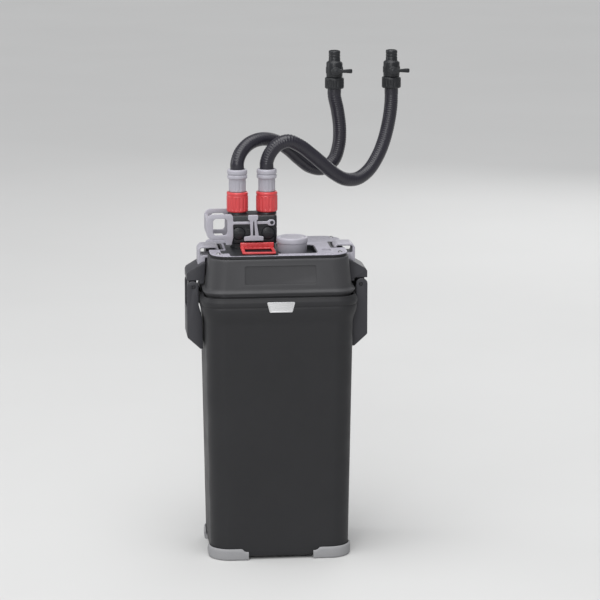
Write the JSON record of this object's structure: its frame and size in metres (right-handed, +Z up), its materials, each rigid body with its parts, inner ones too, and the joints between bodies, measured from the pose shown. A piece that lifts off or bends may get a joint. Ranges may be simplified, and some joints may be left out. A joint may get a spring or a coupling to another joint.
{
  "type": "canister filter",
  "caption": "Tall external aquarium filter with a clamped motor head, shut-off valve, priming pump and two ribbed hoses ending in quarter-turn taps.",
  "frame": {"origin": "on the surface it stands on, under the middle of the canister", "axes": "+Z up, +X to the right and +Y away from a viewer who faces the badge"},
  "size_m": [0.3467, 0.1876, 0.752],
  "materials": {
    "tank_plastic": "fine moulded texture, satin",
    "head_plastic": "satin moulded plastic",
    "black_plastic": "semi-gloss",
    "clamp_plastic": "satin moulded plastic",
    "grey_plastic": "satin moulded plastic",
    "cover_plastic": "fine grained satin",
    "red_plastic": "semi-gloss",
    "boot_rubber": "matte rubber",
    "seal_rubber": "matte rubber",
    "hose_rubber": "ribbed, semi-gloss",
    "filter_foam": "open-cell foam",
    "ceramic_media": "porous",
    "inner_plastic": "satin moulded plastic",
    "ceramic": "polished",
    "badge_silver": "satin",
    "steel": "brushed",
    "laminated_steel": "laminated",
    "winding_copper": "enamelled wire",
    "magnet": "sintered, smooth"
  },
  "bodies": {
    "root": {"canister_body": "tank_plastic", "badge_plate": "badge_silver", "foot_boot_front_left": "boot_rubber", "foot_boot_front_right": "boot_rubber", "foot_boot_rear_left": "boot_rubber", "foot_boot_rear_right": "boot_rubber", "motor_head_housing": "head_plastic", "motor_head_seal": "seal_rubber", "motor_head_top_cover": "cover_plastic", "motor_head_deck": "black_plastic", "cord_gland": "black_plastic", "valve_body": "black_plastic", "valve_clasp": "grey_plastic", "inlet_hose_nozzle": "black_plastic", "outlet_hose_nozzle": "black_plastic", "inlet_hose_nut": "grey_plastic", "outlet_hose_nut": "grey_plastic", "inlet_hose": "hose_rubber", "outlet_hose": "hose_rubber", "inlet_tap_body": "black_plastic", "outlet_tap_body": "black_plastic", "inlet_tap_nut": "black_plastic", "outlet_tap_nut": "black_plastic", "primer_cylinder": "inner_plastic", "primer_spring": "steel", "motor_stator": "laminated_steel", "motor_coil": "winding_copper", "impeller_well": "inner_plastic", "impeller_shaft": "ceramic", "upper_shaft_bush": "seal_rubber", "lower_shaft_bush": "seal_rubber", "impeller_cover": "inner_plastic", "lower_media_basket": "inner_plastic", "upper_media_basket": "inner_plastic", "lower_filter_media": "ceramic_media", "upper_filter_media": "filter_foam", "basket_cover": "inner_plastic", "basket_lift_handle": "red_plastic", "foam_frame": "inner_plastic", "foam_pad": "filter_foam"},
    "clamp_lever_left": {"clamp_lever_left": "clamp_plastic", "clamp_link_pin_left": "steel"},
    "clamp_hook_left": {"clamp_hook_left": "grey_plastic"},
    "clamp_lever_right": {"clamp_lever_right": "clamp_plastic", "clamp_link_pin_right": "steel"},
    "clamp_hook_right": {"clamp_hook_right": "grey_plastic"},
    "valve_lever": {"valve_lever": "grey_plastic"},
    "inlet_barrel": {"inlet_valve_barrel": "black_plastic"},
    "outlet_barrel": {"outlet_valve_barrel": "black_plastic"},
    "valve_latch": {"valve_latch": "red_plastic"},
    "inlet_collar": {"inlet_lock_collar": "red_plastic"},
    "outlet_collar": {"outlet_lock_collar": "red_plastic"},
    "primer": {"primer_button": "grey_plastic", "primer_plunger": "inner_plastic"},
    "rotor": {"rotor_magnet": "magnet", "impeller": "inner_plastic"},
    "inlet_tap": {"inlet_tap_lever": "black_plastic", "inlet_tap_ball": "grey_plastic"},
    "outlet_tap": {"outlet_tap_lever": "black_plastic", "outlet_tap_ball": "grey_plastic"}
  },
  "joints": [
    {"name": "clamp_lever_left_hinge", "type": "hinge", "parent": "root", "child": "clamp_lever_left", "pos_m": [-0.126, 0, 0.412], "axis": [0, 1, 0], "range_deg": [0, 90]},
    {"name": "clamp_hook_left_hinge", "type": "hinge", "parent": "clamp_lever_left", "child": "clamp_hook_left", "pos_m": [-0.1275, 0, 0.397], "axis": [0, 1, 0], "range_deg": [-104, 0]},
    {"name": "clamp_lever_right_hinge", "type": "hinge", "parent": "root", "child": "clamp_lever_right", "pos_m": [0.126, 0, 0.412], "axis": [0, -1, 0], "range_deg": [0, 90]},
    {"name": "clamp_hook_right_hinge", "type": "hinge", "parent": "clamp_lever_right", "child": "clamp_hook_right", "pos_m": [0.1275, 0, 0.397], "axis": [0, -1, 0], "range_deg": [-104, 0]},
    {"name": "valve_lever_hinge", "type": "hinge", "parent": "root", "child": "valve_lever", "pos_m": [-0.008, 0, 0.5075], "axis": [0, 1, 0], "range_deg": [0, 36]},
    {"name": "inlet_barrel_turn", "type": "hinge", "parent": "root", "child": "inlet_barrel", "pos_m": [-0.0575, 0, 0.491], "axis": [0, 1, 0], "range_deg": [0, 90]},
    {"name": "outlet_barrel_turn", "type": "hinge", "parent": "root", "child": "outlet_barrel", "pos_m": [-0.0133, 0, 0.491], "axis": [0, 1, 0], "range_deg": [0, 90]},
    {"name": "valve_latch_slide", "type": "slide", "parent": "root", "child": "valve_latch", "axis": [0, -1, 0], "range_m": [0, 0.006]},
    {"name": "inlet_collar_turn", "type": "hinge", "parent": "root", "child": "inlet_collar", "pos_m": [-0.0575, 0, 0.536], "axis": [0, 0, 1], "range_deg": [0, 60]},
    {"name": "outlet_collar_turn", "type": "hinge", "parent": "root", "child": "outlet_collar", "pos_m": [-0.0133, 0, 0.536], "axis": [0, 0, 1], "range_deg": [0, 60]},
    {"name": "primer_stroke", "type": "slide", "parent": "root", "child": "primer", "axis": [0, 0, -1], "range_m": [0, 0.011], "stiffness_N_per_m": 300, "springref_m": -0.006, "deforming": ["primer_spring"]},
    {"name": "rotor_spin", "type": "hinge", "parent": "root", "child": "rotor", "pos_m": [0.06, 0.036, 0.4], "axis": [0, 0, 1], "continuous": true},
    {"name": "inlet_tap_turn", "type": "hinge", "parent": "root", "child": "inlet_tap", "pos_m": [0.098, 0.084, 0.722], "axis": [0, 1, 0], "range_deg": [0, 90]},
    {"name": "outlet_tap_turn", "type": "hinge", "parent": "root", "child": "outlet_tap", "pos_m": [0.1855, 0.084, 0.722], "axis": [0, 1, 0], "range_deg": [0, 90]}
  ],
  "couplings": [
    {"joint": "clamp_hook_left_hinge", "follows": "clamp_lever_left_hinge", "ratio": -1.15},
    {"joint": "clamp_hook_right_hinge", "follows": "clamp_lever_right_hinge", "ratio": -1.15},
    {"joint": "inlet_barrel_turn", "follows": "valve_lever_hinge", "ratio": 2.5},
    {"joint": "outlet_barrel_turn", "follows": "valve_lever_hinge", "ratio": 2.5}
  ]
}
